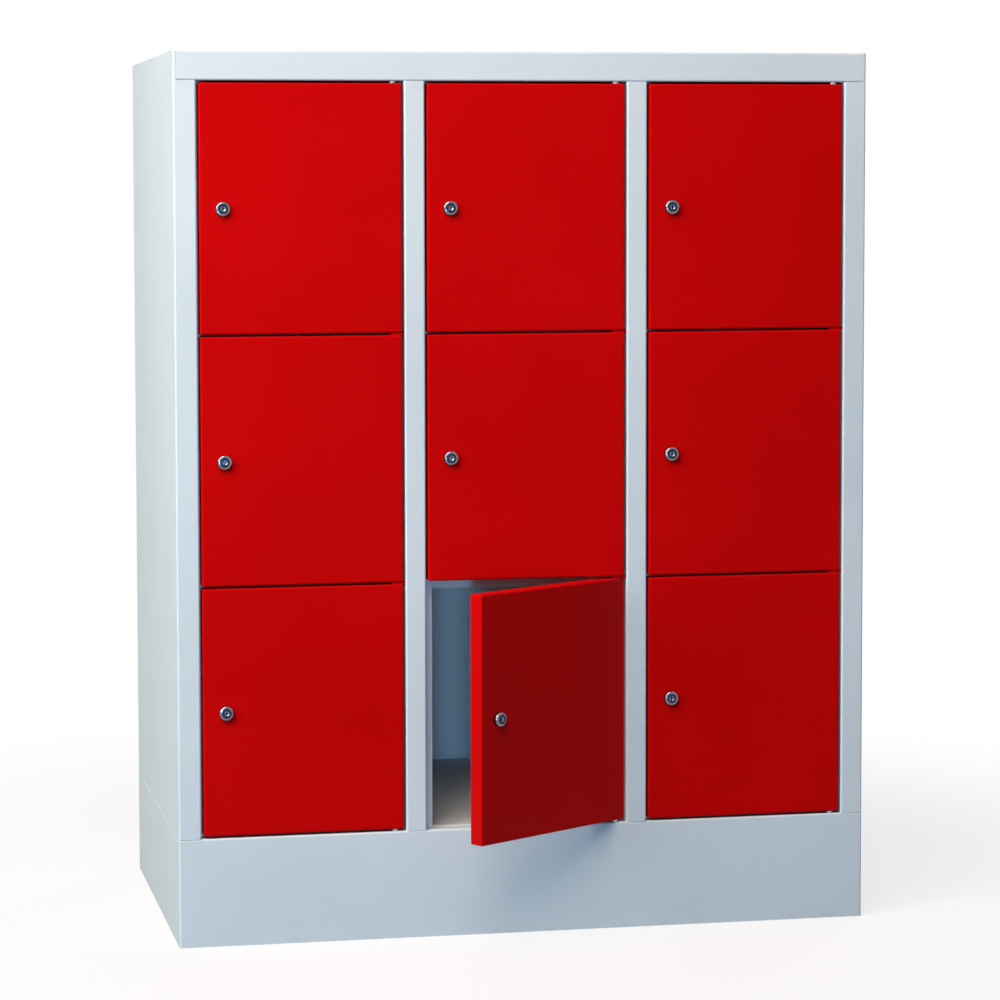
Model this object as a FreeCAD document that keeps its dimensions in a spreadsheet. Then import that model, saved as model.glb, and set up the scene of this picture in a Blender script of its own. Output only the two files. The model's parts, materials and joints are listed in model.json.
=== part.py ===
import FreeCAD, Part
import os
import Sketcher

# A free-standing compartment locker: three columns of three compartments in a folded steel
# carcass on a plinth. Each door hangs on pivot pins at its right-hand edge and has a cam lock
# at its left. X runs to the right, Y into the depth from the front, Z up; the origin lies on
# the floor under the middle of the carcass. Rows count from the top, columns from the left.

COLUMNS = 3
ROWS = 3
AJAR_DOOR = (2, 3)
TOLERANCE = 1e-4

SIZES = (
    ("width", 920),
    ("depth", 500),
    ("height", 1154),
    ("sheet", 1),
    ("bend_inside", 1.5),
    ("clearance", 0.3),
    ("plinth_height", 141),
    ("plinth_flange", 30),
    ("rail_height", 38),
    ("outer_stile", 29.5),
    ("mid_stile", 27),
    ("corner_fold", 4),
    ("rear_flange", 15),
    ("stop_width", 11.5),
    ("stop_gap", 1),
    ("shelf_lip", 21),
    ("door_gap", 3),
    ("door_thickness", 20),
    ("door_lip", 14),
    ("pivot_inset", 11),
    ("pivot_depth", 7),
    ("swing_room", 1),
    ("ajar_angle", 32),
    ("running_fit", 0.05),
    ("pin_radius", 3),
    ("pin_reach", 9),
    ("collar_radius", 4.5),
    ("boss_radius", 5.5),
    ("boss_length", 8),
    ("lock_inset", 30),
    ("lock_flange_radius", 9.5),
    ("lock_flange_height", 6.5),
    ("lock_flange_round", 2.6),
    ("lock_barrel_radius", 8),
    ("nut_circumradius", 12.5),
    ("nut_height", 4),
    ("plug_head_radius", 6.5),
    ("plug_head_height", 2),
    ("plug_recess", 0.4),
    ("plug_radius", 5),
    ("dish_radius", 3.2),
    ("dish_floor_radius", 1.6),
    ("dish_depth", 1.6),
    ("key_slot_length", 6),
    ("key_slot_width", 1.4),
    ("key_slot_depth", 6),
    ("cam_room", 0.5),
    ("cam_reach", 36),
    ("cam_width", 14),
    ("cam_thickness", 2),
    ("cam_square", 6),
    ("screw_radius", 1.5),
    ("screw_length", 7),
    ("screw_head_radius", 4.5),
    ("screw_head_height", 2.5),
    ("screw_head_round", 1.2),
    ("recess_length", 5),
    ("recess_width", 1.2),
    ("recess_depth", 1.3),
)

# Lengths that follow from the sizes. "front" is the plane of the doors and stiles,
# "stop_back" the rear of the flanges that the doors close against, and "shelf_front" leaves
# room for the hinge-side edge of a door to swing in behind its pivot.
WORKED_OUT = (
    ("bay_width", f"(Sizes.width - 2 * Sizes.outer_stile - {COLUMNS - 1} * Sizes.mid_stile) / {COLUMNS}"),
    ("column_pitch", "bay_width + Sizes.mid_stile"),
    ("door_width", "bay_width - 2 * Sizes.door_gap"),
    ("bay_top", "Sizes.height - Sizes.rail_height"),
    ("row_pitch", f"(bay_top - Sizes.plinth_height - Sizes.door_gap) / {ROWS}"),
    ("door_height", "row_pitch - Sizes.door_gap"),
    ("bend", "Sizes.bend_inside + Sizes.sheet"),
    ("front", "-Sizes.depth / 2"),
    ("back_inside", "Sizes.depth / 2 - 2 * Sizes.sheet"),
    ("stop_depth", "Sizes.door_thickness + Sizes.stop_gap"),
    ("stop_back", "front + stop_depth + Sizes.sheet"),
    ("pivot_y", "front + Sizes.pivot_depth"),
    ("hinge_edge_swing", "sqrt(Sizes.pivot_inset ^ 2 + (Sizes.door_thickness - Sizes.pivot_depth) ^ 2)"),
    ("shelf_front", "max(stop_back + Sizes.clearance; pivot_y + hinge_edge_swing + Sizes.swing_room)"),
    ("floor_top", "Sizes.plinth_height + Sizes.sheet"),
    ("lug_thickness", "Sizes.door_gap - 2 * Sizes.clearance"),
    ("collar_height", "Sizes.door_gap - Sizes.clearance"),
    ("lock_x", "Sizes.pivot_inset - door_width + Sizes.lock_inset"),
    ("plug_front", "Sizes.plug_recess - Sizes.lock_flange_height"),
    ("plug_shoulder", "plug_front + Sizes.plug_head_height"),
    ("dish_floor", "plug_front + Sizes.dish_depth"),
    ("cam_front", "stop_depth + Sizes.sheet + Sizes.cam_room"),
    ("cam_back", "cam_front + Sizes.cam_thickness"),
)

DIRECTIONS = {"right": (1, 0), "left": (-1, 0), "up": (0, 1), "down": (0, -1)}
LEFT_OF_PATH, RIGHT_OF_PATH = 1, -1
TURN_Z_TO_Y = FreeCAD.Rotation(FreeCAD.Vector(1, 0, 0), -90)
UPSIDE_DOWN = FreeCAD.Rotation(FreeCAD.Vector(1, 0, 0), 180)

doc = FreeCAD.newDocument("compartment_locker")
nodes = []


def fill_sheets():
    """The driving sizes in one sheet, the lengths worked out from them in another."""
    driving = doc.addObject("Spreadsheet::Sheet", "Sizes")
    for row, (alias, number) in enumerate(SIZES, 1):
        driving.set(f"A{row}", str(number))
        driving.setAlias(f"A{row}", alias)
    doc.recompute()
    worked = doc.addObject("Spreadsheet::Sheet", "Worked")
    for row, (alias, formula) in enumerate(WORKED_OUT, 1):
        worked.set(f"A{row}", f"={formula}")
        worked.setAlias(f"A{row}", alias)
    doc.recompute()
    return driving


def value(expression):
    return float(sizes.evalExpression(expression))


def bind(thing, **expressions):
    """Ties properties of one object to the sheets; x, y and z stand for its position."""
    for name, expression in expressions.items():
        path = f"Placement.Base.{name}" if name in ("x", "y", "z") else name
        thing.setExpression(path, expression)


def new_body(label):
    body = doc.addObject("PartDesign::Body", label)
    body.Label = label
    return body


def as_node(thing):
    nodes.append(thing)
    return thing


def placed_copy(label, sources, rotation=None, **position):
    """One or more modelled pieces set down together at a place of their own."""
    copy = doc.addObject("Part::Compound", label)
    copy.Label = label
    copy.Links = sources
    if rotation:
        copy.Placement.Rotation = rotation
    bind(copy, **position)
    return copy


def outline_sketch(body, name, plane, corners, height="0"):
    """A closed outline on an origin plane; each corner is held by its two coordinates."""
    sketch = body.newObject("Sketcher::SketchObject", name)
    support = next(f for f in body.Origin.OriginFeatures if f.Role == plane)
    sketch.AttachmentSupport = (support, [""])
    sketch.MapMode = "FlatFace"
    sketch.setExpression("AttachmentOffset.Base.z", height)
    points = [FreeCAD.Vector(value(u), value(v), 0) for u, v in corners]
    count = len(points)
    for i, point in enumerate(points):
        sketch.addGeometry(Part.LineSegment(point, points[(i + 1) % count]))
    for i in range(count):
        sketch.addConstraint(Sketcher.Constraint("Coincident", i, 2, (i + 1) % count, 1))
    for i, (corner, point) in enumerate(zip(corners, points)):
        for kind, expression, number in zip(("DistanceX", "DistanceY"), corner, point):
            index = sketch.addConstraint(Sketcher.Constraint(kind, -1, 1, i, 1, number))
            sketch.setExpression(f"Constraints[{index}]", expression)
    doc.recompute()
    return sketch


def pad(body, sketch, length):
    feature = body.newObject("PartDesign::Pad", "pad")
    feature.Profile = sketch
    bind(feature, Length=length)
    doc.recompute()
    return feature


def revolve(body, sketch):
    feature = body.newObject("PartDesign::Revolution", "turned")
    feature.Profile = sketch
    feature.ReferenceAxis = (sketch, ["V_Axis"])
    feature.Angle = 360
    doc.recompute()
    return feature


def fillet(body, radius, wanted):
    """Rounds the edges of the body's latest shape for which wanted(edge) holds."""
    base = body.Tip
    edges = [f"Edge{i}" for i, edge in enumerate(base.Shape.Edges, 1) if wanted(edge)]
    feature = body.newObject("PartDesign::Fillet", "fold")
    feature.Base = (base, edges)
    bind(feature, Radius=radius)
    doc.recompute()
    return feature


def block(body, kind, low, high):
    """Adds or cuts a box between two corners given as expressions."""
    feature = body.newObject(f"PartDesign::{kind}Box", "block")
    for name, axis, a, b in zip(("Length", "Width", "Height"), "xyz", low, high):
        bind(feature, **{name: f"{b} - ({a})", axis: a})
    doc.recompute()
    return feature


def round_bar(body, kind, radius, length, base, rotation=None):
    """Adds or cuts a cylinder that starts at base and runs along Z, or along Y if turned."""
    feature = body.newObject(f"PartDesign::{kind}Cylinder", "round_bar")
    if rotation:
        feature.Placement.Rotation = rotation
    bind(feature, Radius=radius, Height=length, **dict(zip("xyz", base)))
    doc.recompute()
    return feature


def moved(expression, sign, amount):
    return f"{expression} {'+' if sign > 0 else '-'} ({amount})" if sign else expression


def sheet_outline(start, moves, side):
    """The outline of a folded sheet: its outer skin along square moves, and back one sheet away.

    Returns the corners and the numbers of those at the outside and the inside of each fold.
    """
    steps = [DIRECTIONS[word] for word, _ in moves]
    skin = [start]
    for (dx, dy), (_, length) in zip(steps, moves):
        x, y = skin[-1]
        skin.append((moved(x, dx, length), moved(y, dy, length)))
    inner = []
    for i, (x, y) in enumerate(skin):
        beside = steps[max(i - 1, 0):i + 1]
        across = side * sum(-dy for _, dy in beside)
        along = side * sum(dx for dx, _ in beside)
        inner.append((moved(x, across, "Sizes.sheet"), moved(y, along, "Sizes.sheet")))
    last = 2 * len(skin) - 1
    outside, inside = [], []
    for i in range(1, len(steps)):
        (ax, ay), (bx, by) = steps[i - 1], steps[i]
        turns_to_inner = side * (ax * by - ay * bx) > 0
        outside.append(i if turns_to_inner else last - i)
        inside.append(last - i if turns_to_inner else i)
    return skin + inner[::-1], outside, inside


def folded_sheet(label, plane, low, length, start, moves, side):
    """A sheet folded along its length, with the bend radius on both faces of every fold."""
    body = new_body(label)
    corners, outside, inside = sheet_outline(start, moves, side)
    sketch = outline_sketch(body, "section", plane, corners, low)
    pad(body, sketch, length)
    normal = sketch.Placement.Rotation.multVec(FreeCAD.Vector(0, 0, 1))
    places = [sketch.Placement.multVec(line.StartPoint) for line in sketch.Geometry]

    def along(numbers):
        def wanted(edge):
            ends = [vertex.Point for vertex in edge.Vertexes]
            return any(
                all((end - places[n]).cross(normal).Length < TOLERANCE for end in ends) for n in numbers
            )
        return wanted

    fillet(body, "Worked.bend", along(outside))
    fillet(body, "Sizes.bend_inside", along(inside))
    return body


def near(a, b):
    return abs(a - b) < TOLERANCE


def fold_edges(axis, level, walls):
    """Picks the edges that run along an axis or lie at a level on it, with both ends on the walls."""
    others = [i for i in range(3) if i != axis]

    def wanted(edge):
        ends = [vertex.Point for vertex in edge.Vertexes]
        folded = not near(ends[0][axis], ends[-1][axis]) or near(ends[0][axis], level)
        places = [(end[i], walls[i]) for end in ends for i in others]
        return folded and all(any(near(place, wall) for wall in pair) for place, pair in places)

    return wanted


def folded_pan(label, box, cavity, closed_side, mouth=None):
    """A pan of sheet around a cavity, closed at its front or its top, with a mouth cut in."""
    body = new_body(label)
    block(body, "Additive", *box)
    block(body, "Subtractive", *cavity)
    if mouth:
        block(body, "Subtractive", *mouth)
    at_front = closed_side == "front"
    axis = "xyz".index("y" if at_front else "z")
    for radius, (lows, highs) in (("Sizes.bend_inside", cavity), ("Worked.bend", box)):
        walls = [(value(low), value(high)) for low, high in zip(lows, highs)]
        level = min(walls[axis]) if at_front else max(walls[axis])
        fillet(body, radius, fold_edges(axis, level, walls))
    return body


def rim_edge(radius, level):
    """Picks the round edge of that radius at a level on a piece turned about Y."""
    def wanted(edge):
        ends = [vertex.Point for vertex in edge.Vertexes]
        return all(near(end.y, level) and near(abs(end.x), radius) for end in ends)

    return wanted


def left_of_bay(column):
    """The right-hand edge of the stile to the left of a column's doors."""
    return f"(-Sizes.width / 2 + Sizes.outer_stile + {column - 1} * Worked.column_pitch)"


def right_of_bay(column):
    return f"({left_of_bay(column)} + Worked.bay_width)"


def left_wall(column):
    """The face of the wall at the left inside a column."""
    if column == 1:
        return "(-Sizes.width / 2 + Sizes.sheet)"
    return f"({right_of_bay(column - 1)} + Sizes.sheet)"


def right_wall(column):
    return right_of_bay(column) if column < COLUMNS else "(Sizes.width / 2 - Sizes.sheet)"


def pivot_x(column):
    return f"({right_of_bay(column)} - Sizes.door_gap - Sizes.pivot_inset)"


def door_bottom(row):
    return f"(Worked.bay_top - {row} * Worked.row_pitch)"


def make_plinth():
    """A closed base frame with flanges turned in at the top and the bottom."""
    half = ("Sizes.width / 2", "Sizes.depth / 2")
    inner = [f"({h} - Sizes.sheet)" for h in half]
    opening = [f"({h} - Sizes.plinth_flange)" for h in half]
    top = "Sizes.plinth_height"
    box = [[f"-{h}" for h in half] + ["0"], [*half, top]]
    cavity = [[f"-{h}" for h in inner] + ["Sizes.sheet"], [*inner, f"{top} - Sizes.sheet"]]
    mouth = [[f"-{h}" for h in opening] + ["-Sizes.sheet"], [*opening, f"{top} + Sizes.sheet"]]
    return folded_pan("plinth", box, cavity, "top", mouth)


def cut_stile_under_rail(body, low_x, high_x):
    """Cuts the front folds back where the top rail crosses them."""
    low = (low_x, "Worked.front - Sizes.sheet", "Worked.bay_top")
    high = (high_x, "Worked.stop_back + Sizes.clearance", "Sizes.height + Sizes.sheet")
    block(body, "Subtractive", low, high)


def notch_wall_for_rail(body, low_x, high_x):
    """Clears a wall of the rail's face and ledge; the tongue left between them closes off the rail."""
    low = (low_x, "Worked.front - Sizes.sheet", "Worked.bay_top")
    face_back = "Worked.front + Worked.bend + Sizes.clearance"
    block(body, "Subtractive", low, (high_x, face_back, "Sizes.height + Sizes.sheet"))
    ledge_back = "Worked.stop_back + Sizes.clearance"
    ledge_top = "Worked.bay_top + Sizes.sheet + Sizes.clearance"
    block(body, "Subtractive", low, (high_x, ledge_back, ledge_top))


def make_side_left():
    """Side wall with a rear flange, the left stile and the stop flange behind the doors."""
    body = folded_sheet(
        "side_left", "XY_Plane", "Sizes.plinth_height", "Sizes.height - Sizes.plinth_height",
        ("-Sizes.width / 2 + Sizes.rear_flange", "Sizes.depth / 2"),
        [
            ("left", "Sizes.rear_flange"),
            ("down", "Sizes.depth"),
            ("right", "Sizes.outer_stile"),
            ("up", "Worked.stop_depth"),
            ("right", "Sizes.stop_width"),
        ],
        LEFT_OF_PATH,
    )
    inner = f"{left_of_bay(1)} + Sizes.stop_width + Sizes.sheet"
    cut_stile_under_rail(body, "-Sizes.width / 2 + Sizes.corner_fold", inner)
    return body


def make_side_right():
    """Side wall with a rear flange and the right stile, whose return carries hinges."""
    body = folded_sheet(
        "side_right", "XY_Plane", "Sizes.plinth_height", "Sizes.height - Sizes.plinth_height",
        ("Sizes.width / 2 - Sizes.rear_flange", "Sizes.depth / 2"),
        [
            ("right", "Sizes.rear_flange"),
            ("down", "Sizes.depth"),
            ("left", "Sizes.outer_stile"),
            ("up", "Worked.stop_depth"),
        ],
        RIGHT_OF_PATH,
    )
    inner = f"{right_of_bay(COLUMNS)} - Sizes.sheet"
    cut_stile_under_rail(body, inner, "Sizes.width / 2 - Sizes.corner_fold")
    return body


def make_partition(number):
    """Wall between two columns, folded at the front into a stile and a stop flange."""
    left = right_of_bay(number)
    body = folded_sheet(
        f"partition_{number}", "XY_Plane", "Sizes.plinth_height",
        "Sizes.height - Sizes.sheet - Sizes.plinth_height",
        (f"{left} + Sizes.rear_flange", "Worked.back_inside"),
        [
            ("left", "Sizes.rear_flange"),
            ("down", "Worked.back_inside - Worked.front"),
            ("right", "Sizes.mid_stile"),
            ("up", "Worked.stop_depth"),
            ("right", "Sizes.stop_width"),
        ],
        LEFT_OF_PATH,
    )
    outer, wall_face = f"{left} - Sizes.sheet", f"{left} + Sizes.sheet"
    inner = f"{left_of_bay(number + 1)} + Sizes.stop_width + Sizes.sheet"
    cut_stile_under_rail(body, wall_face, inner)
    notch_wall_for_rail(body, outer, wall_face)
    floor_low = (outer, "Worked.stop_back", "Sizes.plinth_height - Sizes.sheet")
    floor_high = (inner, "Worked.back_inside + Sizes.sheet", "Worked.floor_top")
    block(body, "Subtractive", floor_low, floor_high)
    return body


def make_top_panel():
    """Top sheet folded down into the front rail and back under it as the hinge ledge."""
    half = "(Sizes.width / 2 - Sizes.sheet - Sizes.clearance)"
    body = folded_sheet(
        "top_panel", "YZ_Plane", f"-{half}", f"2 * {half}",
        ("Worked.back_inside - Sizes.clearance", "Sizes.height"),
        [
            ("left", "Worked.back_inside - Sizes.clearance - Worked.front"),
            ("down", "Sizes.rail_height"),
            ("right", "Worked.stop_depth"),
        ],
        LEFT_OF_PATH,
    )
    rail_end = "(Sizes.width / 2 - Sizes.corner_fold - Sizes.clearance)"
    near_y = "Worked.front - Sizes.sheet"
    far_y = "Worked.front + Worked.bend"
    low_z, high_z = "Worked.bay_top - Sizes.sheet", "Sizes.height + Sizes.sheet"
    block(body, "Subtractive", ("-Sizes.width / 2", near_y, low_z), (f"-{rail_end}", far_y, high_z))
    block(body, "Subtractive", (rail_end, near_y, low_z), ("Sizes.width / 2", far_y, high_z))
    return body


def make_flat_sheet(label, low, high):
    body = new_body(label)
    block(body, "Additive", low, high)
    return body


def make_back_panel():
    half = "(Sizes.width / 2 - Worked.bend - Sizes.clearance)"
    low = (f"-{half}", "Worked.back_inside", "Sizes.plinth_height")
    return make_flat_sheet("back_panel", low, (half, "Worked.back_inside + Sizes.sheet", "Sizes.height"))


def make_floor_panel():
    half = "(Sizes.width / 2 - Sizes.sheet - Sizes.clearance)"
    low = (f"-{half}", "Worked.stop_back + Sizes.clearance", "Sizes.plinth_height")
    high = (half, "Worked.back_inside - Sizes.clearance", "Worked.floor_top")
    return make_flat_sheet("floor_panel", low, high)


def make_shelf(column, row):
    """An upturned tray whose lips are fixed to the walls on both sides."""
    middle = f"({door_bottom(row)} - Sizes.door_gap / 2)"
    bottom, top = f"{middle} - Sizes.shelf_lip / 2", f"{middle} + Sizes.shelf_lip / 2"
    rear = "Worked.back_inside - Sizes.sheet - Sizes.clearance"
    low = [f"{left_wall(column)} + Sizes.clearance", "Worked.shelf_front", bottom]
    high = [f"{right_wall(column)} - Sizes.clearance", rear, top]
    hollow_low = [f"{a} + Sizes.sheet" for a in low[:2]] + [f"{bottom} - Sizes.sheet"]
    hollow_high = [f"{b} - Sizes.sheet" for b in high]
    return folded_pan(f"shelf_c{column}_r{row}", (low, high), (hollow_low, hollow_high), "top")


def make_door():
    """A pan folded from one sheet, with lips at the back and a bearing boss at either end.

    Its origin is the pivot axis at the foot of the door.
    """
    low = ["Sizes.pivot_inset - Worked.door_width", "-Sizes.pivot_depth", "0"]
    high = ["Sizes.pivot_inset", "Sizes.door_thickness - Sizes.pivot_depth", "Worked.door_height"]
    cavity = ([f"{a} + Sizes.sheet" for a in low], [f"{b} - Sizes.sheet" for b in high])
    (left, _, foot), (right, back, head) = low, high
    mouth_low = (f"{left} + Sizes.door_lip", f"{back} - 2 * Sizes.sheet", f"{foot} + Sizes.door_lip")
    mouth_high = (f"{right} - Sizes.door_lip", f"{back} + Sizes.sheet", f"{head} - Sizes.door_lip")
    body = folded_pan("door", (low, high), cavity, "front", (mouth_low, mouth_high))
    upper = "Worked.door_height - Sizes.sheet - Sizes.boss_length"
    hole = "Sizes.pin_radius + Sizes.running_fit"
    hole_depth = "Sizes.boss_length + 4 * Sizes.sheet"
    for foot in ("Sizes.sheet", upper):
        round_bar(body, "Additive", "Sizes.boss_radius", "Sizes.boss_length", ("0", "0", foot))
        round_bar(body, "Subtractive", hole, hole_depth, ("0", "0", f"{foot} - 2 * Sizes.sheet"))
    lock_base = ("Worked.lock_x", "-Sizes.pivot_depth - Sizes.sheet", "Worked.door_height / 2")
    lock_hole = "Sizes.lock_barrel_radius + Sizes.clearance"
    round_bar(body, "Subtractive", lock_hole, "3 * Sizes.sheet", lock_base, TURN_Z_TO_Y)
    return body


def make_stud():
    """A pivot pin on a collar, welded to the plinth or under the rail."""
    body = new_body("stud")
    corners = [
        ("0", "0"),
        ("Sizes.collar_radius", "0"),
        ("Sizes.collar_radius", "Worked.collar_height"),
        ("Sizes.pin_radius", "Worked.collar_height"),
        ("Sizes.pin_radius", "Sizes.door_gap + Sizes.pin_reach"),
        ("0", "Sizes.door_gap + Sizes.pin_reach"),
    ]
    revolve(body, outline_sketch(body, "section", "XZ_Plane", corners))
    return body


def make_lug():
    """A tab welded to a stile's return, with a pivot pin up and down, in a gap between doors."""
    body = new_body("lug")
    half = "(Worked.lug_thickness / 2)"
    reach = "(Sizes.door_gap / 2 + Sizes.pin_reach)"
    low = ("0", "-Sizes.collar_radius", f"-{half}")
    block(body, "Additive", low, ("Sizes.pivot_inset + Sizes.door_gap", "Sizes.collar_radius", half))
    round_bar(body, "Additive", "Sizes.collar_radius", "Worked.lug_thickness", ("0", "0", f"-{half}"))
    round_bar(body, "Additive", "Sizes.pin_radius", f"2 * {reach}", ("0", "0", f"-{reach}"))
    return body


def hinge_group(label, source, levels):
    """Copies of one hinge piece at every column, for each level given as (height, rotation)."""
    copies = []
    for column in range(1, COLUMNS + 1):
        for height, rotation in levels:
            place = {"x": pivot_x(column), "y": "Worked.pivot_y", "z": height}
            copies.append(placed_copy(f"{source.Label}_{len(copies) + 1}", [source], rotation, **place))
    return placed_copy(label, copies)


def make_lock_barrel():
    """The lock's barrel with its front flange and a stepped bore; Y = 0 is the door's face."""
    body = new_body("lock_barrel")
    head, shank = "Sizes.plug_head_radius + Sizes.running_fit", "Sizes.plug_radius + Sizes.running_fit"
    seat = "Worked.plug_shoulder + Sizes.running_fit"
    corners = [
        (head, "-Sizes.lock_flange_height"),
        ("Sizes.lock_flange_radius", "-Sizes.lock_flange_height"),
        ("Sizes.lock_flange_radius", "0"),
        ("Sizes.lock_barrel_radius", "0"),
        ("Sizes.lock_barrel_radius", "Sizes.door_thickness"),
        (shank, "Sizes.door_thickness"),
        (shank, seat),
        (head, seat),
    ]
    revolve(body, outline_sketch(body, "section", "XY_Plane", corners))
    front_rim = rim_edge(value("Sizes.lock_flange_radius"), value("-Sizes.lock_flange_height"))
    fillet(body, "Sizes.lock_flange_round", front_rim)
    return body


def make_lock_nut():
    """The six-sided nut that clamps the barrel from inside the door."""
    blank = doc.addObject("Part::Prism", "nut_blank")
    blank.Polygon = 6
    bind(blank, Circumradius="Sizes.nut_circumradius", Height="Sizes.nut_height")
    bore = doc.addObject("Part::Cylinder", "nut_bore")
    bind(bore, Radius="Sizes.lock_barrel_radius + Sizes.running_fit", Height="Sizes.nut_height")
    nut = doc.addObject("Part::Cut", "lock_nut")
    nut.Base = blank
    nut.Tool = bore
    nut.Placement.Rotation = TURN_Z_TO_Y
    bind(nut, y="Sizes.sheet")
    return nut


def make_lock_plug():
    """The turning plug: a head dished round the key slot, a shank and a square end for the cam."""
    body = new_body("lock_plug")
    corners = [
        ("0", "Worked.dish_floor"),
        ("Sizes.dish_floor_radius", "Worked.dish_floor"),
        ("Sizes.dish_radius", "Worked.plug_front"),
        ("Sizes.plug_head_radius", "Worked.plug_front"),
        ("Sizes.plug_head_radius", "Worked.plug_shoulder"),
        ("Sizes.plug_radius", "Worked.plug_shoulder"),
        ("Sizes.plug_radius", "Worked.cam_front"),
        ("0", "Worked.cam_front"),
    ]
    revolve(body, outline_sketch(body, "section", "XY_Plane", corners))
    side = "(Sizes.cam_square / 2)"
    low = (f"-{side}", "Worked.cam_front", f"-{side}")
    block(body, "Additive", low, (side, "Worked.cam_back", side))
    slot_x, slot_z = "(Sizes.key_slot_width / 2)", "(Sizes.key_slot_length / 2)"
    slot_low = (f"-{slot_x}", "Worked.plug_front - Sizes.sheet", f"-{slot_z}")
    slot_high = (slot_x, "Worked.plug_front + Sizes.key_slot_depth", slot_z)
    block(body, "Subtractive", slot_low, slot_high)
    hole_base = ("0", "Worked.cam_back - Sizes.screw_length", "0")
    hole_length = "Sizes.screw_length + Sizes.sheet"
    hole = "Sizes.screw_radius + Sizes.running_fit"
    round_bar(body, "Subtractive", hole, hole_length, hole_base, TURN_Z_TO_Y)
    return body


def make_lock_cam():
    """The cam, hanging down when unlocked, with rounded ends and a square eye."""
    body = new_body("lock_cam")
    half, foot = "(Sizes.cam_width / 2)", "(Sizes.cam_width / 2 - Sizes.cam_reach)"
    low = (f"-{half}", "Worked.cam_front", foot)
    block(body, "Additive", low, (half, "Worked.cam_back", "0"))
    for height in ("0", foot):
        base = ("0", "Worked.cam_front", height)
        round_bar(body, "Additive", half, "Sizes.cam_thickness", base, TURN_Z_TO_Y)
    eye = "(Sizes.cam_square / 2 + Sizes.running_fit)"
    eye_low = (f"-{eye}", "Worked.cam_front - Sizes.sheet", f"-{eye}")
    block(body, "Subtractive", eye_low, (eye, "Worked.cam_back + Sizes.sheet", eye))
    return body


def make_cam_screw():
    """The screw that holds the cam on the plug's square end, with a cross recess in its head."""
    body = new_body("cam_screw")
    foot = "Worked.cam_back - Sizes.screw_length + Sizes.clearance"
    head_back = "Worked.cam_back + Sizes.screw_head_height"
    corners = [
        ("0", foot),
        ("Sizes.screw_radius", foot),
        ("Sizes.screw_radius", "Worked.cam_back"),
        ("Sizes.screw_head_radius", "Worked.cam_back"),
        ("Sizes.screw_head_radius", head_back),
        ("0", head_back),
    ]
    revolve(body, outline_sketch(body, "section", "XY_Plane", corners))
    fillet(body, "Sizes.screw_head_round", rim_edge(value("Sizes.screw_head_radius"), value(head_back)))
    long, thin = "(Sizes.recess_length / 2)", "(Sizes.recess_width / 2)"
    for x, z in ((long, thin), (thin, long)):
        low = (f"-{x}", f"{head_back} - Sizes.recess_depth", f"-{z}")
        block(body, "Subtractive", low, (x, f"{head_back} + Sizes.sheet", z))
    return body


def hang_door(door, locks, column, row):
    """Places a door on its pivots and its lock in the door, both turned by the door's angle."""
    angle = "Sizes.ajar_angle" if (column, row) == AJAR_DOOR else "0"
    corner = f"create(<<vector>>; {pivot_x(column)}; Worked.pivot_y; {door_bottom(row)})"
    turn = f"create(<<rotation>>; create(<<vector>>; 0; 0; 1); {angle})"
    lock_corner = "create(<<vector>>; Worked.lock_x; -Sizes.pivot_depth; Worked.door_height / 2)"
    no_turn = "create(<<rotation>>; create(<<vector>>; 0; 0; 1); 0)"
    door_place = f"create(<<placement>>; {corner}; {turn})"
    lock_place = f"{door_place} * create(<<placement>>; {lock_corner}; {no_turn})"
    pieces = {"door": ([door], door_place)}
    pieces.update({label: (sources, lock_place) for label, sources in locks.items()})
    for label, (sources, place) in pieces.items():
        as_node(placed_copy(f"{label}_c{column}_r{row}", sources, Placement=place))


def write_nodes():
    """Checks every object, then writes one file for each sub-part."""
    doc.recompute()
    for thing in doc.Objects:
        if {"Invalid", "Error"} & set(thing.State):
            raise RuntimeError(f"{thing.Label}: {thing.State}")
    os.makedirs("parts", exist_ok=True)
    for node in nodes:
        shape = node.Shape
        if shape.isNull() or not shape.isValid() or not shape.Solids:
            raise RuntimeError(f"{node.Label}: no valid solid")
        shape.exportStep(f"parts/{node.Label}.step")
        box = shape.BoundBox
        print(f"{node.Label:18s} {len(shape.Solids)} solid(s) {shape.Volume / 1000:9.2f} cm3  "
              f"{box.XLength:.1f} x {box.YLength:.1f} x {box.ZLength:.1f} mm")


sizes = fill_sheets()

as_node(make_plinth())
as_node(make_side_left())
as_node(make_side_right())
as_node(make_top_panel())
as_node(make_back_panel())
as_node(make_floor_panel())
for partition in range(1, COLUMNS):
    as_node(make_partition(partition))
for shelf_column in range(1, COLUMNS + 1):
    for shelf_row in range(1, ROWS):
        as_node(make_shelf(shelf_column, shelf_row))

stud_levels = [("Sizes.plinth_height", None), ("Worked.bay_top", UPSIDE_DOWN)]
lug_levels = [(f"{door_bottom(row)} - Sizes.door_gap / 2", None) for row in range(1, ROWS)]
as_node(hinge_group("hinge_studs", make_stud(), stud_levels))
as_node(hinge_group("hinge_lugs", make_lug(), lug_levels))

plain_door = make_door()
lock_pieces = {
    "lock_body": [make_lock_barrel(), make_lock_nut()],
    "lock_plug": [make_lock_plug()],
    "lock_cam": [make_lock_cam(), make_cam_screw()],
}
for door_column in range(1, COLUMNS + 1):
    for door_row in range(1, ROWS + 1):
        hang_door(plain_door, lock_pieces, door_column, door_row)

write_nodes()
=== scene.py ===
# %% [markdown]
# # A compartment locker
# The real locker is folded from thin steel sheet: a light grey carcass on a plinth, red pan doors
# hung on pivot pins, and a small cam lock in each door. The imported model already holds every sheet,
# pin and lock piece at its true size and place, so nothing is modelled twice. This lesson gives the
# pieces their finishes, adds details too fine for the model, and sets up the camera and the light.

# %% Load the locker
import json
import math

import bmesh
import bpy
from mathutils import Matrix, Vector

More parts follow.
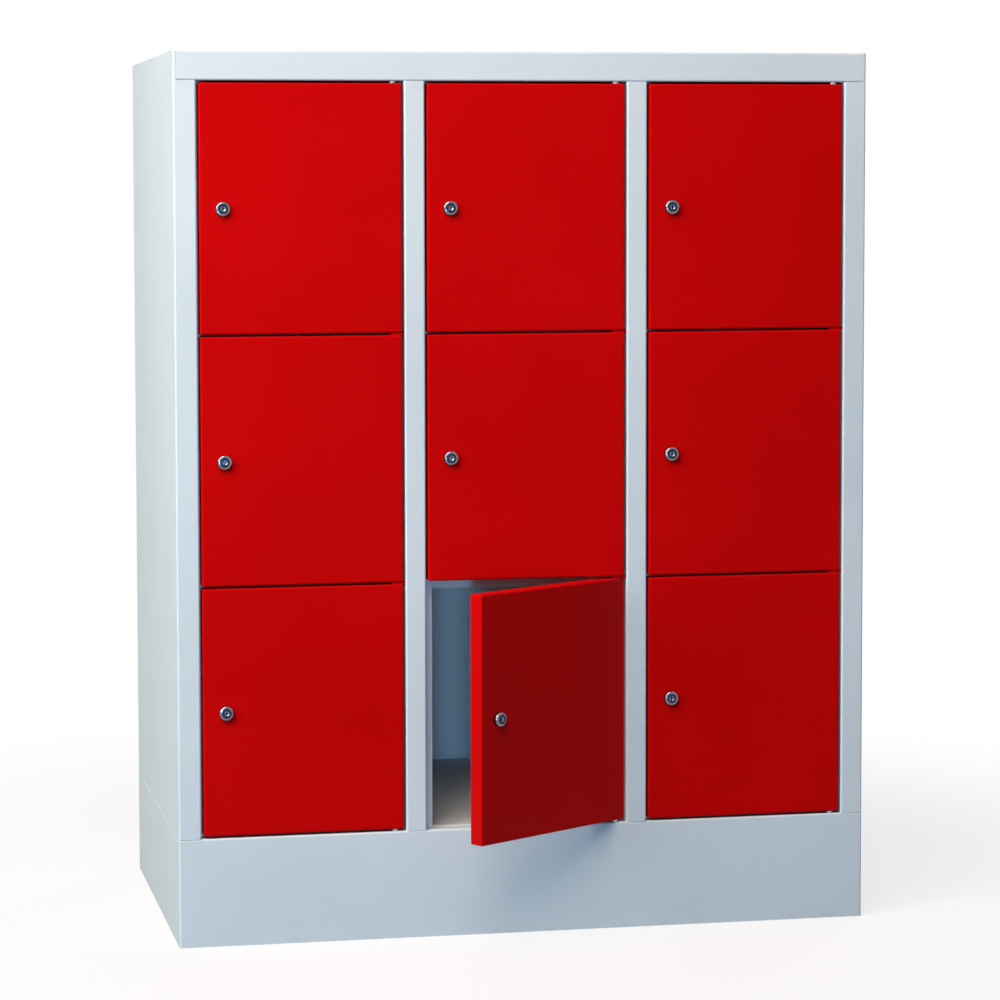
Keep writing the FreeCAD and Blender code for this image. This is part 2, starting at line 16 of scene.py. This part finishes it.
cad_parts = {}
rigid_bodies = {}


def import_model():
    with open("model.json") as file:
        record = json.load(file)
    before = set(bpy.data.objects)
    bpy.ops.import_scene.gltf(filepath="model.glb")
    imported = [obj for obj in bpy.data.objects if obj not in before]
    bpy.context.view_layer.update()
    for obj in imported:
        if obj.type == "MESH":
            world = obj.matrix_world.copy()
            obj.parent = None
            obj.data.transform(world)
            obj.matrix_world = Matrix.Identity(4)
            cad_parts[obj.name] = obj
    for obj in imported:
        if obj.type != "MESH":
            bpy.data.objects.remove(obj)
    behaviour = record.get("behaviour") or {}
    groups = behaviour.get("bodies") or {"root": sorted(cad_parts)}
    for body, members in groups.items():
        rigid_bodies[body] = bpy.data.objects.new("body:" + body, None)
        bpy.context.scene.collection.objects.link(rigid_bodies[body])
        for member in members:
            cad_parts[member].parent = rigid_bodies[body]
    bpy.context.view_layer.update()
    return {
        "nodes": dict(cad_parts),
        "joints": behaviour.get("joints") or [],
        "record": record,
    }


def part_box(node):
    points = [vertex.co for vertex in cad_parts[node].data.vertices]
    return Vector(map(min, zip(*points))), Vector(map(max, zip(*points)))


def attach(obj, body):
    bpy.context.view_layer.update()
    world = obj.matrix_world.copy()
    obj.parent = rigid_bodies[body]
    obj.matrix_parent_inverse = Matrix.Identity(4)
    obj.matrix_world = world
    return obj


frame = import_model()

MM = 0.001
nodes = frame["nodes"]

# %% [markdown]
# ## Shader maths as plain sums
# A finish needs small sums, such as "the paint's shade plus a little of the cloud pattern". Each sum
# could be a Math node placed by hand, but a row of such calls hides what it works out. Here a small
# class wraps a socket, so that Python's own + - and * add the nodes. Every other node comes from one
# method: its settings are set first, because some of them change which sockets the node has.

# %% Sockets that can be added and multiplied
class Wire:
    """An output socket of a finish. Sums with it add Math nodes."""

    def __init__(self, finish, socket):
        self.finish, self.socket = finish, socket

    def math(self, operation, first, second):
        return self.finish.node("ShaderNodeMath", {"operation": operation}, {0: first, 1: second})

    def __add__(self, other):
        return self.math("ADD", self, other)

    def __sub__(self, other):
        return self.math("SUBTRACT", self, other)

    def __rsub__(self, other):
        return self.math("SUBTRACT", other, self)

    def __mul__(self, other):
        return self.math("MULTIPLY", self, other)

    __radd__ = __add__
    __rmul__ = __mul__


class Finish:
    """A node tree under construction."""

    def __init__(self, tree):
        self.tree = tree
        tree.nodes.clear()

    def node(self, kind, settings=None, sockets=None, output=0):
        """Adds a node of any kind: its settings first, then the values or wires of its sockets."""
        made = self.tree.nodes.new(kind)
        for name, setting in (settings or {}).items():
            setattr(made, name, setting)
        for key, given in (sockets or {}).items():
            if isinstance(given, Wire):
                self.tree.links.new(given.socket, made.inputs[key])
            else:
                made.inputs[key].default_value = given
        return Wire(self, made.outputs[output]) if made.outputs else None


print("classes:", Wire.__name__, Finish.__name__)

# %% [markdown]
# ## Small tools that every finish shares
# All patterns are measured in metres on the piece itself (Object coordinates), so they stay fixed to
# a door when it swings, and a scale of 500 means features of about two millimetres. Image textures
# would need unwrapping and would blur up close; noise stays sharp at any distance.

# %% Pattern tools
# The Mix node's sockets for colours go by number, because their names are used three times over.
MIX_FACTOR, MIX_FIRST, MIX_SECOND, MIX_RESULT = 0, 6, 7, 2


def new_material(name):
    material = bpy.data.materials.new(name)
    material.use_nodes = True
    return material, Finish(material.node_tree)


def noise(finish, coordinates, scale, detail=2.0):
    sockets = {"Vector": coordinates, "Scale": scale, "Detail": detail}
    return finish.node("ShaderNodeTexNoise", {}, sockets)


def fade(finish, wire, low, high):
    """0 below low, 1 above high and a smooth step between; low may be the larger of the two."""
    sockets = {"Value": wire, "From Min": low, "From Max": high}
    return finish.node("ShaderNodeMapRange", {"interpolation_type": "SMOOTHSTEP"}, sockets)


def mix_colours(finish, factor, first, second):
    sockets = {MIX_FACTOR: factor, MIX_FIRST: first, MIX_SECOND: second}
    return finish.node("ShaderNodeMix", {"data_type": "RGBA"}, sockets, MIX_RESULT)


def stretched(finish, coordinates, factors):
    """Coordinates multiplied axis by axis, which draws a pattern out along the small factors."""
    sockets = {0: coordinates, 1: factors}
    return finish.node("ShaderNodeVectorMath", {"operation": "MULTIPLY"}, sockets)


def skin_bump(finish, height, strength, depth):
    """A normal that tilts with a pattern, as if the pattern stood depth metres high."""
    sockets = {"Strength": strength, "Distance": depth, "Height": height}
    return finish.node("ShaderNodeBump", {}, sockets)


def close_finish(finish, sockets):
    shader = finish.node("ShaderNodeBsdfPrincipled", {}, sockets)
    finish.node("ShaderNodeOutputMaterial", {}, {"Surface": shader})


print("tools:", [tool.__name__ for tool in (noise, fade, mix_colours, stretched, skin_bump)])

# %% [markdown]
# ## Powder coat
# Both colours are baked-on powder: a satin skin with a fine orange peel, a trace of uneven thickness
# and a thinner, slightly polished coat where the sheet is folded. A single Base Color would look like
# plastic, so the shade drifts a little over the panels, and the peel is a bump with waves of about two
# millimetres. The folds are found with the Bevel node, which rounds the normal near an edge: where the
# rounded normal leaves the true one, there is a fold. There the colour is lighter, partly for the
# thinner coat and partly as a painted highlight along every bend. Near the floor the plinth has faint
# scuffs.

# %% Find the folds and the scuffs
FOLD_RADIUS, FOLD_SAMPLES, FOLD_EDGES = 1.5 * MM, 6, (0.01, 0.25)
SCUFF_SCALE, SCUFF_STRETCH, SCUFF_EDGES = 28.0, (1.0, 1.0, 6.0), (0.56, 0.7)
SCUFF_TOP = 0.06


def fold_mask(finish):
    """Light on the folds and cut edges of the sheet, dark on its flat faces."""
    rounded = finish.node("ShaderNodeBevel", {"samples": FOLD_SAMPLES}, {"Radius": FOLD_RADIUS})
    true = finish.node("ShaderNodeNewGeometry", output="Normal")
    sockets = {0: rounded, 1: true}
    aligned = finish.node("ShaderNodeVectorMath", {"operation": "DOT_PRODUCT"}, sockets, "Value")
    return fade(finish, 1 - aligned, *FOLD_EDGES)


def scuff_mask(finish, at):
    """Short level marks that fade out towards SCUFF_TOP."""
    streaks = noise(finish, stretched(finish, at, SCUFF_STRETCH), SCUFF_SCALE, detail=5.0)
    height = finish.node("ShaderNodeSeparateXYZ", {}, {0: at}, "Z")
    return fade(finish, streaks, *SCUFF_EDGES) * fade(finish, height, SCUFF_TOP, 0.0)


print("in mm: folds wear within", round(FOLD_RADIUS / MM, 1), "and scuffs end at", round(SCUFF_TOP / MM))

# %% Write the recipe of the coat
PEEL_SCALE, GRAIN_SCALE = 420.0, 1900.0
CLOUD_SCALE, CLOUD_EDGES = 4.0, (0.3, 0.7)
# The last of these sets how far the folds turn lighter: partly a thinner coat, partly a painted
# highlight.
SHADE_CLOUDS, SHADE_GRAIN, SHADE_SCUFFS, FOLD_THIN_AND_HIGHLIGHT = 0.7, 0.3, 0.8, 0.8
SATIN, DULL_CLOUDS, DULL_GRAIN, DULL_SCUFFS, FOLD_POLISH = 0.5, 0.06, 0.08, 0.1, 0.1
SKIN_PEEL, SKIN_GRAIN, SKIN_DEPTH = 0.75, 0.25, 0.3 * MM


def powder_coat(name, deep, plain, thin_and_highlight, gloss, gloss_tint, peel_strength):
    """Paint that drifts between two shades; the folds get a lighter third, partly a painted highlight.
    """
    material, finish = new_material(name)
    at = finish.node("ShaderNodeTexCoord", output="Object")
    peel = noise(finish, at, PEEL_SCALE)
    grain = noise(finish, at, GRAIN_SCALE, detail=1.0)
    clouds = fade(finish, noise(finish, at, CLOUD_SCALE, detail=4.0), *CLOUD_EDGES)
    folds, scuffs = fold_mask(finish), scuff_mask(finish, at)
    shade = clouds * SHADE_CLOUDS + grain * SHADE_GRAIN - scuffs * SHADE_SCUFFS
    colour = mix_colours(finish, shade, deep, plain)
    roughness = SATIN + clouds * DULL_CLOUDS + grain * DULL_GRAIN - folds * FOLD_POLISH
    skin = peel * SKIN_PEEL + grain * SKIN_GRAIN
    close_finish(finish, {
        # Lighter on the folds: partly a thinner coat, partly a painted highlight along the bends.
        "Base Color": mix_colours(finish, folds * FOLD_THIN_AND_HIGHLIGHT, colour, thin_and_highlight),
        "Roughness": roughness + scuffs * DULL_SCUFFS,
        "Specular IOR Level": gloss,
        "Specular Tint": gloss_tint,
        "Normal": skin_bump(finish, skin, peel_strength, SKIN_DEPTH),
    })
    return material


print("waves in mm: peel", round(1 / PEEL_SCALE / MM, 1), "and grain", round(1 / GRAIN_SCALE / MM, 1))

# %% Mix the two paints
# The third colour of each paint goes on the folds: partly a thinner coat, partly a painted highlight.
carcass_paint = powder_coat(
    "carcass_paint",
    deep=(0.570, 0.628, 0.645, 1), plain=(0.625, 0.685, 0.700, 1), thin_and_highlight=(0.78, 0.83, 0.84, 1),
    gloss=0.15, gloss_tint=(1, 1, 1, 1), peel_strength=0.10,
)
door_paint = powder_coat(
    "door_paint",
    deep=(0.470, 0.0012, 0.0015, 1), plain=(0.540, 0.0018, 0.0022, 1), thin_and_highlight=(0.66, 0.006, 0.006, 1),
    gloss=0.22, gloss_tint=(1, 0.02, 0.02, 1), peel_strength=0.08,
)
print("paints:", carcass_paint.name, door_paint.name)

# %% [markdown]
# ## Plated steel
# The lock's barrel is brightly plated, its plug is darker turned steel, and the cam, its screw and
# the hinge studs are dull zinc. All are metals, so Metallic is 1 and the Base Color is the tint of
# the reflection. The tints are painted shade, far darker than the bare metals: they stand in for the
# dark room that real metal mirrors, and the plug's navy is a painted reflection of dark blue
# surroundings. A dark tint keeps the lock dark among the red, and still gives a bright point where
# it mirrors a lamp. Fine scratches vary the roughness, and duller patches the tint.

# %% The plated metals
SCRATCH_SCALE, SCRATCH_STRETCH = 900.0, (1.0, 1.0, 9.0)
SCRATCH_STRENGTH, SCRATCH_DEPTH = 0.15, 0.05 * MM
PATCH_SCALE, PATCH_EDGES = 160.0, (0.35, 0.65)
DULL_SCRATCHES, DULL_PATCHES = 0.12, 0.05


def plated_metal(name, tint, worn, roughness):
    """Metal that drifts between two tints, with fine scratches."""
    material, finish = new_material(name)
    at = finish.node("ShaderNodeTexCoord", output="Object")
    scratches = noise(finish, stretched(finish, at, SCRATCH_STRETCH), SCRATCH_SCALE, detail=4.0)
    patches = fade(finish, noise(finish, at, PATCH_SCALE, detail=3.0), *PATCH_EDGES)
    close_finish(finish, {
        "Base Color": mix_colours(finish, patches, tint, worn),
        "Metallic": 1.0,
        "Roughness": roughness + scratches * DULL_SCRATCHES + patches * DULL_PATCHES,
        "Normal": skin_bump(finish, scratches, SCRATCH_STRENGTH, SCRATCH_DEPTH),
    })
    return material


# These tints are painted shade: far darker than bare chrome, steel and zinc, they stand in for a dark
# room mirrored in the metal.
lock_chrome = plated_metal(
    "lock_chrome", tint=(0.160, 0.165, 0.190, 1), worn=(0.230, 0.230, 0.250, 1), roughness=0.07
)
# The plug's navy is a painted reflection of dark blue surroundings.
plug_steel = plated_metal(
    "plug_steel", tint=(0.020, 0.028, 0.062, 1), worn=(0.034, 0.045, 0.085, 1), roughness=0.10
)
zinc = plated_metal("zinc", tint=(0.27, 0.275, 0.28, 1), worn=(0.34, 0.34, 0.33, 1), roughness=0.42)
print("metals:", lock_chrome.name, plug_steel.name, zinc.name)

# %% [markdown]
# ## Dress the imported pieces
# The record says which material slot each piece belongs to, so a short table from slot to finish
# dresses all of them. Assigning by the name of each piece would work too, but would be a long list
# that has to be kept in step with the model.

# %% Put the finishes on
FINISH_OF_SLOT = {
    "carcass_paint": carcass_paint,
    "door_paint": door_paint,
    "pin_steel": zinc,
    "lock_chrome": lock_chrome,
    "plug_steel": plug_steel,
    "cam_steel": zinc,
}
for part in frame["record"]["subparts"]:
    mesh = nodes[part["node"]].data
    mesh.materials.clear()
    mesh.materials.append(FINISH_OF_SLOT[part["material_slot"]])

# %% [markdown]
# ## A new piece from points and faces
# The details that follow are made in mesh code. Each has to move with the part of the locker that
# carries it, so it rides on a body, and it takes the slot of its finish. Its faces are shaded smooth
# except where they meet at a real corner. Shading it all flat would show every facet.

# %% The piece maker
CORNER_ANGLE = math.radians(35)


def add_piece(name, points, faces, body, slot_name):
    """A new mesh piece that rides on a body and has the finish of a slot."""
    mesh = bpy.data.meshes.new(name)
    mesh.from_pydata(points, [], faces)
    shape = bmesh.new()
    shape.from_mesh(mesh)
    bmesh.ops.recalc_face_normals(shape, faces=shape.faces)
    for face in shape.faces:
        face.smooth = True
    shape.to_mesh(mesh)
    shape.free()
    mesh.set_sharp_from_angle(angle=CORNER_ANGLE)
    mesh.materials.append(FINISH_OF_SLOT[slot_name])
    piece = bpy.data.objects.new(name, mesh)
    bpy.context.scene.collection.objects.link(piece)
    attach(piece, body)


print("corners stay sharp above", round(math.degrees(CORNER_ANGLE)), "degrees")

# %% [markdown]
# ## Threads on the lock barrels
# Behind its nut, the barrel of a real cam lock is threaded to the end, which shows whenever a door
# stands open. A Screw modifier could sweep a tooth into a thread, but its ends would stop dead. In
# mesh code, the tooth is carried round the barrel step by step, and rises from nothing and dies away
# again over a third of a turn, as a cut thread does. Each lock's joint gives the barrel's axis.

# %% Shape a thread
BARREL_RADIUS, THREAD_HEIGHT, THREAD_PITCH = 8.0 * MM, 0.55 * MM, 1.5 * MM
THREAD_START, THREAD_END = 6.2 * MM, 19.2 * MM
STEPS_PER_TURN, RUN_OUT_STEPS, LEAST_RISE = 36, 12, 0.05
# Corners of the tooth: along the barrel in pitches, and outwards in thread heights.
TOOTH = ((-0.42, -0.2), (-0.12, 1.0), (0.12, 1.0), (0.42, -0.2))


def thread_mesh(centre, axis):
    """Points and faces of one thread round an axis that runs from centre into the locker."""
    side = axis.orthogonal().normalized()
    across = axis.cross(side)
    last = round((THREAD_END - THREAD_START) / THREAD_PITCH * STEPS_PER_TURN)
    corners = len(TOOTH)
    points, faces = [], []
    for step in range(last + 1):
        angle = step / STEPS_PER_TURN * math.tau
        outward = side * math.cos(angle) + across * math.sin(angle)
        along = THREAD_START + step / STEPS_PER_TURN * THREAD_PITCH
        rise = min(1.0, LEAST_RISE + min(step, last - step) / RUN_OUT_STEPS)
        for offset, height in TOOTH:
            radius = BARREL_RADIUS + height * rise * THREAD_HEIGHT
            points.append(centre + axis * (along + offset * THREAD_PITCH) + outward * radius)
    for step in range(last):
        low, high = step * corners, (step + 1) * corners
        for corner in range(corners):
            following = (corner + 1) % corners
            faces.append((low + corner, low + following, high + following, high + corner))
    faces += [tuple(range(corners))[::-1], tuple(range(last * corners, (last + 1) * corners))]
    return points, faces


print("turns in a thread:", round((THREAD_END - THREAD_START) / THREAD_PITCH, 1))

# %% Cut a thread on each barrel
lock_joints = [joint for joint in frame["joints"] if joint["name"].startswith("lock_")]
for joint in lock_joints:
    points, faces = thread_mesh(Vector(joint["pos_m"]), Vector(joint["axis"]).normalized())
    name = joint["name"].replace("lock_", "lock_thread_").replace("_turn", "")
    add_piece(name, points, faces, joint["parent"], "lock_chrome")
print("threads:", len(lock_joints), "with", len(faces), "faces each")

# %% [markdown]
# ## Key guides
# Round its slot, the plug of a real lock is hollowed like a saucer, which leads the key in and mirrors
# a lamp as one bright point. The model has a plain cone there, and a cone seldom mirrors a small lamp.
# A sphere cut with a Boolean would give the hollow, but would have to cut the model itself. Two half
# saucers, left and right of the slot, can lie in the cone instead. Each is a grid of points on a
# sphere and the same grid a little deeper, closed round its border.

# %% Shape half a key guide
GUIDE_SPHERE, GUIDE_OUTER, GUIDE_INNER = 5.0 * MM, 3.2 * MM, 1.6 * MM
GUIDE_SHEET, SLOT_HALF = 0.2 * MM, 0.75 * MM
GUIDE_RINGS, GUIDE_STEPS = 8, 20


def saucer_points(centre, axis, hand, sunk):
    """A grid on one half of the hollow; hand is 1 or -1, and sunk lowers it into the plug."""
    up = Vector((0, 0, 1))
    across = axis.cross(up) * hand
    rim_level = math.sqrt(GUIDE_SPHERE ** 2 - GUIDE_OUTER ** 2)
    for ring in range(GUIDE_RINGS):
        radius = GUIDE_OUTER + (GUIDE_INNER - GUIDE_OUTER) * ring / (GUIDE_RINGS - 1)
        depth = math.sqrt(GUIDE_SPHERE ** 2 - radius ** 2) - rim_level + sunk
        reach = math.acos(SLOT_HALF / radius)
        for step in range(GUIDE_STEPS):
            angle = reach * (2 * step / (GUIDE_STEPS - 1) - 1)
            yield centre + axis * depth + (across * math.cos(angle) + up * math.sin(angle)) * radius


def sheet_faces(first, rows, columns):
    """Faces that close two like grids, one after the other, into one thin sheet."""
    under = rows * columns
    for row in range(rows - 1):
        for column in range(columns - 1):
            corner = first + row * columns + column
            face = (corner, corner + 1, corner + columns + 1, corner + columns)
            yield face
            yield tuple(point + under for point in face[::-1])
    border = list(range(columns)) + [row * columns + columns - 1 for row in range(1, rows)]
    border += [under - 1 - column for column in range(1, columns)]
    border += [row * columns for row in range(rows - 2, 0, -1)]
    for here, following in zip(border, border[1:] + border[:1]):
        yield (first + following, first + here, first + here + under, first + following + under)


print("points on half a guide:", 2 * GUIDE_RINGS * GUIDE_STEPS)

# %% Set a guide in each plug
plug_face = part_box("lock_plug_c1_r1")[0][1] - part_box("door_c1_r1")[0][1]
for joint in lock_joints:
    axis = Vector(joint["axis"]).normalized()
    centre = Vector(joint["pos_m"]) + axis * plug_face
    points, faces = [], []
    for hand in (1, -1):
        faces += sheet_faces(len(points), GUIDE_RINGS, GUIDE_STEPS)
        for sunk in (0.0, GUIDE_SHEET):
            points += saucer_points(centre, axis, hand, sunk)
    name = joint["name"].replace("lock_", "key_guide_").replace("_turn", "")
    add_piece(name, points, faces, joint["child"], "lock_chrome")
print("key guides:", len(lock_joints), "plug faces stand", round(-plug_face / MM, 2), "mm proud")

# %% [markdown]
# ## Spot welds on the back
# The flanges of the sides and of the inner walls are spot-welded to the back sheet, and under the
# paint every weld shows as a shallow dent with a raised ring. A bump in the material could draw them,
# but would vanish at a glancing angle. Each mark is a few rings of points turned round its middle,
# sunk a little into the sheet so that no edge stands open.

# %% Shape a weld mark
WELD_SIDES = 24
# Radius and height of each ring in millimetres, from the foot inwards.
WELD_RINGS = ((4.0, -0.10), (3.7, 0.05), (2.9, 0.34), (2.3, 0.27), (1.5, 0.04))


def weld_points(middle):
    """Rings of one mark on a face that looks backwards, from its foot to the floor of its dent."""
    for radius, height in WELD_RINGS:
        for step in range(WELD_SIDES):
            angle = step / WELD_SIDES * math.tau
            outward = Vector((radius * math.cos(angle), height, radius * math.sin(angle)))
            yield middle + outward * MM


def weld_faces(first):
    """The bands between the rings, the floor of the dent and the closed underside."""
    for ring in range(len(WELD_RINGS) - 1):
        low, high = first + ring * WELD_SIDES, first + (ring + 1) * WELD_SIDES
        for step in range(WELD_SIDES):
            following = (step + 1) % WELD_SIDES
            yield (low + step, high + step, high + following, low + following)
    dent = first + (len(WELD_RINGS) - 1) * WELD_SIDES
    yield tuple(range(dent, dent + WELD_SIDES))[::-1]
    yield tuple(range(first, first + WELD_SIDES))


print("points on a weld mark:", len(WELD_RINGS) * WELD_SIDES)

# %% Press the marks along the flanges
REAR_FLANGE = 15.0 * MM
WELD_COUNT, WELD_LOW, WELD_HIGH = 10, 0.185, 1.105

side_box, back_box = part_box("side_left"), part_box("back_panel")
side_row = abs(side_box[0][0]) - REAR_FLANGE / 2
weld_rows = [(-side_row, side_box[1][1]), (side_row, side_box[1][1])]
for wall in ("partition_1", "partition_2"):
    weld_rows.append((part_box(wall)[0][0] + REAR_FLANGE / 2, back_box[1][1]))
points, faces = [], []
for x, y in weld_rows:
    for number in range(WELD_COUNT):
        z = WELD_LOW + (WELD_HIGH - WELD_LOW) * number / (WELD_COUNT - 1)
        faces += weld_faces(len(points))
        points += weld_points(Vector((x, y, z)))
add_piece("weld_marks", points, faces, "carcass", "carcass_paint")
print("weld marks:", len(weld_rows) * WELD_COUNT)

# %% [markdown]
# ## Camera
# The photograph was taken from the left of the locker, a little below its top edge. Its lines were
# matched to the model's to find the place, the turn and the lens. They meet as if the lens looked at
# a point left of the picture's middle and above it, as in a picture cut from a larger frame, so the
# camera has a small lens shift. A track-to constraint would be simpler, but could not hold the slight
# roll.

# %% Place the camera
# The picture's width, the focal length and the point that the lens looks at are in pixels.
PICTURE, FOCAL, CENTRE = 1000.0, 3137.0, (400.0, 400.0)
CAMERA_PLACE = (-0.917, -4.228, 0.971)
YAW, PITCH, ROLL = (math.radians(angle) for angle in (-10.66, 3.76, 0.21))

camera = bpy.data.objects.new("camera", bpy.data.cameras.new("camera"))
bpy.context.scene.collection.objects.link(camera)
level_turn = Matrix.Rotation(YAW, 4, "Z") @ Matrix.Rotation(math.pi / 2 - PITCH, 4, "X")
turn = level_turn @ Matrix.Rotation(-ROLL, 4, "Z")
camera.matrix_world = Matrix.Translation(CAMERA_PLACE) @ turn
camera.data.lens = camera.data.sensor_width * FOCAL / PICTURE
camera.data.shift_x = 0.5 - CENTRE[0] / PICTURE
camera.data.shift_y = CENTRE[1] / PICTURE - 0.5
bpy.context.scene.camera = camera
print("lens in mm:", round(camera.data.lens, 1))

# %% [markdown]
# ## Lamps
# The photograph is lit from the left front by a wide soft source: the top left is the brightest, the
# doors fade towards the lower right, and no shadow has a hard edge. One lamp that wide would wrap
# round the locker and flatten its folds, so two broad ones stand high in front and at the left side.
# A small cool one stands low in front. It reaches into the open compartment, but from well below the
# camera, so that the thin gaps between the doors stay dark. Another lights the back and the right-hand
# side, which these don't reach, and a weak cool one keeps the top from looking warm.

# %% Hang the lamps
LOCKER_MIDDLE = Vector((0.0, 0.0, 0.6))
LAMPS = (
    # name, place in m, width in m, watts, colour
    ("high_lamp", (-1.4, -2.04, 3.1), 2.6, 121.0, (1.0, 0.84, 0.74)),
    ("side_lamp", (-3.4, -1.67, 2.15), 2.4, 118.0, (0.90, 0.975, 1.0)),
    ("low_lamp", (-0.97, -4.4, 0.22), 0.4, 52.0, (0.27, 0.62, 1.0)),
    ("back_lamp", (2.8, 3.2, 0.58), 1.1, 190.0, (1.0, 0.97, 0.92)),
    ("top_lamp", (0.5, 0.6, 3.4), 1.6, 13.0, (0.05, 0.50, 1.0)),
)


def soft_lamp(name, place, width, watts, colour):
    """A round area lamp that looks at the middle of the locker."""
    lamp = bpy.data.objects.new(name, bpy.data.lights.new(name, "AREA"))
    bpy.context.scene.collection.objects.link(lamp)
    lamp.location = place
    lamp.rotation_euler = (LOCKER_MIDDLE - lamp.location).to_track_quat("-Z", "Y").to_euler()
    lamp.data.shape = "DISK"
    lamp.data.size = width
    lamp.data.energy = watts
    lamp.data.color = colour


for lamp in LAMPS:
    soft_lamp(*lamp)
print("lamps:", len(LAMPS), "with", sum(watts for _, _, _, watts, _ in LAMPS), "W in all")

# %% [markdown]
# ## White background
# The photograph's ground is plain white. A white sky would give that, but would also light the locker
# from all round and wash out its shadows. The Light Path node tells rays apart: the sky shows white
# to the camera and to reflections, and is only a faint grey to the rays that carry light.

# %% Make the sky
WHITE, FAINT_GREY = (1, 1, 1, 1), (0.03, 0.03, 0.035, 1)


def seen_directly(finish):
    """1 for rays from the camera, from a mirror or through glass, and 0 for rays that carry light."""
    path = finish.node("ShaderNodeLightPath", output="Is Camera Ray")
    outputs = path.socket.node.outputs
    glossy = Wire(finish, outputs["Is Glossy Ray"])
    return path + glossy + Wire(finish, outputs["Is Transmission Ray"])


world = bpy.data.worlds.new("sky")
world.use_nodes = True
bpy.context.scene.world = world
sky = Finish(world.node_tree)
fill = sky.node("ShaderNodeBackground", {}, {"Color": FAINT_GREY, "Strength": 1.0})
white = sky.node("ShaderNodeBackground", {}, {"Color": WHITE, "Strength": 1.0})
both = sky.node("ShaderNodeMixShader", {}, {0: seen_directly(sky), 1: fill, 2: white})
sky.node("ShaderNodeOutputWorld", {}, {"Surface": both})
bpy.context.scene.view_settings.view_transform = "Standard"
print("sky nodes:", len(world.node_tree.nodes))

# %% [markdown]
# ## Floor
# The locker stands on a pale floor that takes its shadow. A plain white plane would show a horizon,
# so the floor is part matt and part glowing near the locker, and only glowing further out, where it
# runs into the white sky. To the rays that carry light it is darker, or it would brighten the plinth.

# %% Lay the floor
FLOOR_HALF, FLOOR_DROP = 15.0, 0.2 * MM
NEAR_LOCKER, FAR_FROM_LOCKER, GLOW_NEAR = 0.5, 1.6, 0.72
PALE, DIM = (0.80, 0.80, 0.80, 1), (0.18, 0.19, 0.21, 1)

floor_material, ground = new_material("pale_floor")
spot = ground.node("ShaderNodeTexCoord", output="Object")
distance = ground.node("ShaderNodeVectorMath", {"operation": "LENGTH"}, {0: spot}, "Value")
seen = seen_directly(ground)
matt = ground.node("ShaderNodeBsdfDiffuse", {}, {"Color": mix_colours(ground, seen, DIM, PALE)})
glow = ground.node("ShaderNodeEmission", {}, {"Color": WHITE, "Strength": 1.0})
further_out = fade(ground, distance, NEAR_LOCKER, FAR_FROM_LOCKER)
share = seen * (GLOW_NEAR + further_out * (1 - GLOW_NEAR))
floor_shader = ground.node("ShaderNodeMixShader", {}, {0: share, 1: matt, 2: glow})
ground.node("ShaderNodeOutputMaterial", {}, {"Surface": floor_shader})

floor_mesh = bpy.data.meshes.new("floor")
signs = ((-1, -1), (1, -1), (1, 1), (-1, 1))
floor_mesh.from_pydata([(x * FLOOR_HALF, y * FLOOR_HALF, 0) for x, y in signs], [], [(0, 1, 2, 3)])
floor_mesh.materials.append(floor_material)
floor = bpy.data.objects.new("floor", floor_mesh)
floor.location.z = -FLOOR_DROP
bpy.context.scene.collection.objects.link(floor)
print("floor in m:", 2 * FLOOR_HALF, "square")
